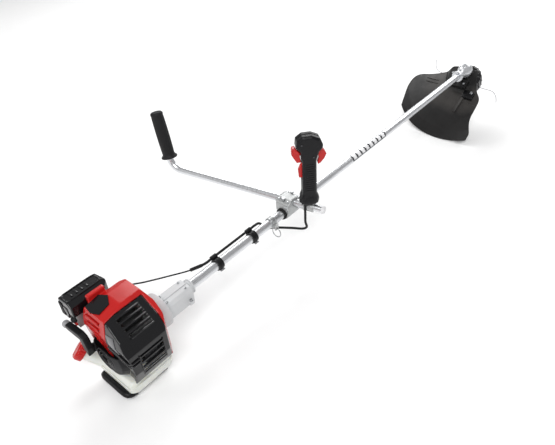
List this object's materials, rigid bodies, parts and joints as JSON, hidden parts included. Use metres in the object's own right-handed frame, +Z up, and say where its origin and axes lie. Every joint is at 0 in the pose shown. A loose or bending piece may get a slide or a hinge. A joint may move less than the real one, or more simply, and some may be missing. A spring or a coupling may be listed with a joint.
{
  "type": "string trimmer",
  "caption": "Petrol string trimmer with a straight drive tube, a two-handed handlebar with a throttle handle, a shrouded engine on a tank stand, and a guarded line head.",
  "frame": {"origin": "middle of the tank stand's flat foot, on the floor", "axes": "+Y from the engine towards the line head, +X to the operator's right, +Z up"},
  "size_m": [0.5882, 1.9288, 0.4354],
  "materials": {
    "tube_metal": "satin",
    "cast_metal": "cast",
    "steel": "machined",
    "black_plastic": "fine grain",
    "gloss_black": "gloss",
    "guard_black": "grained",
    "red_plastic": "gloss",
    "milk_plastic": "translucent",
    "black_rubber": "matt",
    "nylon": "smooth",
    "foam": "open cell"
  },
  "bodies": {
    "frame": {"drive_tube": "tube_metal", "shaft_liner": "nylon", "clutch_housing": "cast_metal", "crankcase": "cast_metal", "cylinder": "tube_metal", "spark_plug": "steel", "plug_cap": "black_rubber", "ignition_coil": "black_plastic", "engine_shroud": "red_plastic", "muffler_cover": "gloss_black", "badge_panel": "gloss_black", "muffler": "steel", "starter_housing": "black_plastic", "fuel_tank": "milk_plastic", "tank_stand": "black_plastic", "carburetor": "cast_metal", "air_filter_cover": "gloss_black", "air_filter_element": "foam", "cable_clip_1": "black_plastic", "cable_clip_2": "black_plastic", "hanger_clamp": "cast_metal", "throttle_cable": "black_rubber", "handlebar": "tube_metal", "bracket_base": "cast_metal", "bracket_cap": "cast_metal", "bracket_bolt_1": "steel", "bracket_bolt_2": "steel", "left_grip": "black_rubber", "handle_clamp": "cast_metal", "handle_shell_left": "black_plastic", "handle_shell_right": "black_plastic", "gearcase": "cast_metal", "guard": "guard_black", "line_cutter": "steel"},
    "crank": {"crankshaft": "steel", "flywheel_fan": "cast_metal", "clutch_rotor": "steel"},
    "shoe_1": {"clutch_shoe_1": "cast_metal"},
    "shoe_2": {"clutch_shoe_2": "cast_metal"},
    "piston": {"piston": "tube_metal"},
    "rod": {"connecting_rod": "steel"},
    "driveline": {"clutch_drum": "steel", "drive_shaft": "steel", "pinion_gear": "steel"},
    "head": {"output_gear": "steel", "line_head_housing": "black_plastic", "line_spool": "nylon", "trimmer_line_1": "nylon", "trimmer_line_2": "nylon"},
    "bump_knob": {"bump_knob": "black_plastic"},
    "pulley": {"starter_pulley": "black_plastic"},
    "pull_grip": {"starter_grip": "black_plastic"},
    "fuel_cap": {"fuel_cap": "red_plastic"},
    "choke": {"choke_lever": "red_plastic"},
    "primer": {"primer_bulb": "black_rubber"},
    "trigger": {"throttle_trigger": "red_plastic"},
    "carb_lever": {"carb_throttle_lever": "steel"},
    "lockout": {"lockout_lever": "red_plastic"},
    "stop_switch": {"stop_switch": "red_plastic"},
    "ring": {"hanger_ring": "steel"}
  },
  "joints": [
    {"name": "crank_spin", "type": "hinge", "parent": "frame", "child": "crank", "pos_m": [0, 0.07072, 0.14381], "axis": [0, 0.9987, 0.0512], "continuous": true},
    {"name": "clutch_shoe_1_swing", "type": "hinge", "parent": "crank", "child": "shoe_1", "pos_m": [0.017, 0.07072, 0.14381], "axis": [0, 0.9987, 0.0512], "range_deg": [0, 3], "stiffness_Nm_per_rad": 5},
    {"name": "clutch_shoe_2_swing", "type": "hinge", "parent": "crank", "child": "shoe_2", "pos_m": [-0.017, 0.07072, 0.14381], "axis": [0, 0.9987, 0.0512], "range_deg": [0, 3], "stiffness_Nm_per_rad": 5},
    {"name": "piston_slide", "type": "slide", "parent": "frame", "child": "piston", "axis": [0, 0.0512, -0.9987], "range_m": [0, 0.022]},
    {"name": "rod_swing", "type": "hinge", "parent": "piston", "child": "rod", "pos_m": [0, -0.0017, 0.18916], "axis": [0, 0.9987, 0.0512], "range_deg": [-12, 12]},
    {"name": "driveline_spin", "type": "hinge", "parent": "frame", "child": "driveline", "pos_m": [0, 0.19057, 0.14996], "axis": [0, 0.9987, 0.0512], "continuous": true},
    {"name": "head_spin", "type": "hinge", "parent": "frame", "child": "head", "pos_m": [0, 1.71856, 0.22837], "axis": [0, 0.5437, -0.8393], "continuous": true},
    {"name": "knob_bump", "type": "slide", "parent": "head", "child": "bump_knob", "axis": [0, -0.5437, 0.8393], "range_m": [0, 0.003], "stiffness_N_per_m": 2000},
    {"name": "pulley_turn", "type": "hinge", "parent": "frame", "child": "pulley", "pos_m": [0, -0.04213, 0.13802], "axis": [0, -0.9987, -0.0512], "range_deg": [0, 107], "stiffness_Nm_per_rad": 0.02},
    {"name": "starter_pull", "type": "slide", "parent": "frame", "child": "pull_grip", "axis": [-1, 0, 0], "range_m": [0, 0.045]},
    {"name": "fuel_cap_turn", "type": "hinge", "parent": "frame", "child": "fuel_cap", "pos_m": [-0.09438, -0.07898, 0.06944], "axis": [-0.6017, -0.5326, 0.5952], "continuous": true},
    {"name": "choke_turn", "type": "hinge", "parent": "frame", "child": "choke", "pos_m": [-0.097, -0.07452, 0.1644], "axis": [0, -0.9987, -0.0512], "range_deg": [0, 55]},
    {"name": "primer_push", "type": "slide", "parent": "frame", "child": "primer", "axis": [0, 0.9987, 0.0512], "range_m": [0, 0.004], "stiffness_N_per_m": 400},
    {"name": "trigger_squeeze", "type": "hinge", "parent": "frame", "child": "trigger", "pos_m": [0.06843, 0.59233, 0.38904], "axis": [-0.7648, 0.6434, 0.033], "range_deg": [0, 14], "stiffness_Nm_per_rad": 1},
    {"name": "carb_throttle_turn", "type": "hinge", "parent": "frame", "child": "carb_lever", "pos_m": [-0.084, -0.05107, 0.17561], "axis": [1, 0, 0], "range_deg": [0, 56], "stiffness_Nm_per_rad": 0.01},
    {"name": "lockout_press", "type": "hinge", "parent": "frame", "child": "lockout", "pos_m": [0.05555, 0.5791, 0.34831], "axis": [0.7648, -0.6434, -0.033], "range_deg": [0, 8], "stiffness_Nm_per_rad": 0.5},
    {"name": "stop_slide", "type": "slide", "parent": "frame", "child": "stop_switch", "axis": [0, 0.0512, -0.9987], "range_m": [0, 0.005]},
    {"name": "ring_swing", "type": "hinge", "parent": "frame", "child": "ring", "pos_m": [0.0195, 0.50277, 0.15397], "axis": [1, 0, 0], "range_deg": [-45, 26]}
  ],
  "couplings": [
    {"joint": "driveline_spin", "follows": "head_spin", "ratio": 1.5},
    {"joint": "starter_pull", "follows": "pulley_turn", "m_per_rad": 0.024},
    {"joint": "carb_throttle_turn", "follows": "trigger_squeeze", "ratio": 4}
  ]
}
